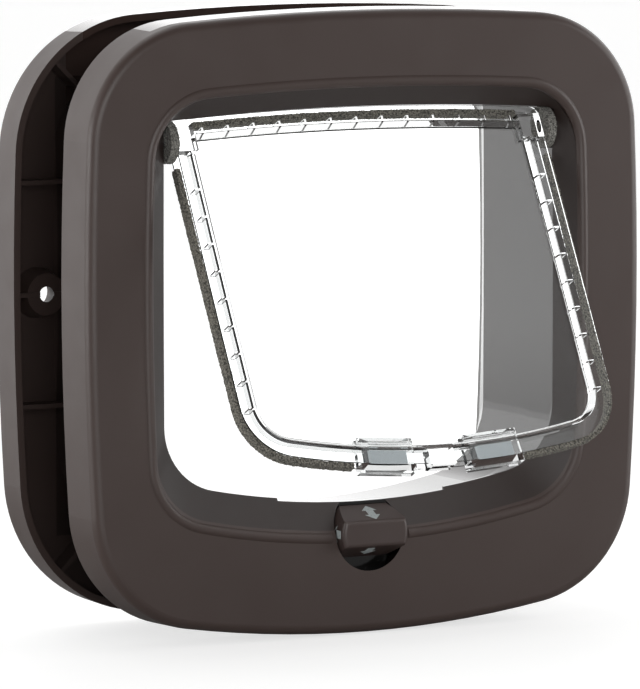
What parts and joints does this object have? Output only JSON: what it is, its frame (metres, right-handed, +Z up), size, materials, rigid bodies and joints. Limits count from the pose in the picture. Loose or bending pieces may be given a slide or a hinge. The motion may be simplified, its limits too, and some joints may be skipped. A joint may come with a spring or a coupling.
{
  "type": "cat flap",
  "caption": "Door-mounted cat flap: two moulded frames joined by a telescoping tunnel, a clear swinging flap with pile and magnets, and a rotary lock.",
  "frame": {"origin": "midway between the two fixing screw axes, on the plane where the front frame meets the door", "axes": "+X to the right seen from the front, +Y into the door, +Z up"},
  "size_m": [0.225, 0.1296, 0.2225],
  "materials": {
    "brown_abs": "fine satin moulded ABS",
    "black_nylon": "moulded nylon",
    "clear_plastic": "clear moulded polycarbonate, as flat as glass",
    "grey_pile": "short woven pile",
    "magnet": "sintered ferrite with a grey coat",
    "spring_steel": "bright strip",
    "screw_steel": "zinc plated"
  },
  "bodies": {
    "frame": {"front_frame": "brown_abs", "rear_frame": "brown_abs", "lock_housing": "brown_abs", "sill_magnet_left": "magnet", "sill_magnet_right": "magnet", "detent_spring": "spring_steel", "housing_screws": "screw_steel"},
    "flap": {"flap_panel": "clear_plastic", "top_pile": "grey_pile", "side_pile_left": "grey_pile", "side_pile_right": "grey_pile", "pivot_disc_left": "grey_pile", "pivot_disc_right": "grey_pile", "flap_magnet_left": "magnet", "flap_magnet_right": "magnet", "magnet_clip_left": "clear_plastic", "magnet_clip_right": "clear_plastic"},
    "lock": {"lock_knob": "brown_abs", "lock_spindle": "black_nylon", "knob_screw": "screw_steel"}
  },
  "joints": [
    {"name": "flap_swing", "type": "hinge", "parent": "frame", "child": "flap", "pos_m": [0, -0.01, 0.057], "axis": [1, 0, 0], "range_deg": [-55, 108]},
    {"name": "knob_turn", "type": "hinge", "parent": "frame", "child": "lock", "pos_m": [0, -0.018, -0.084], "axis": [0, 1, 0], "continuous": true}
  ]
}
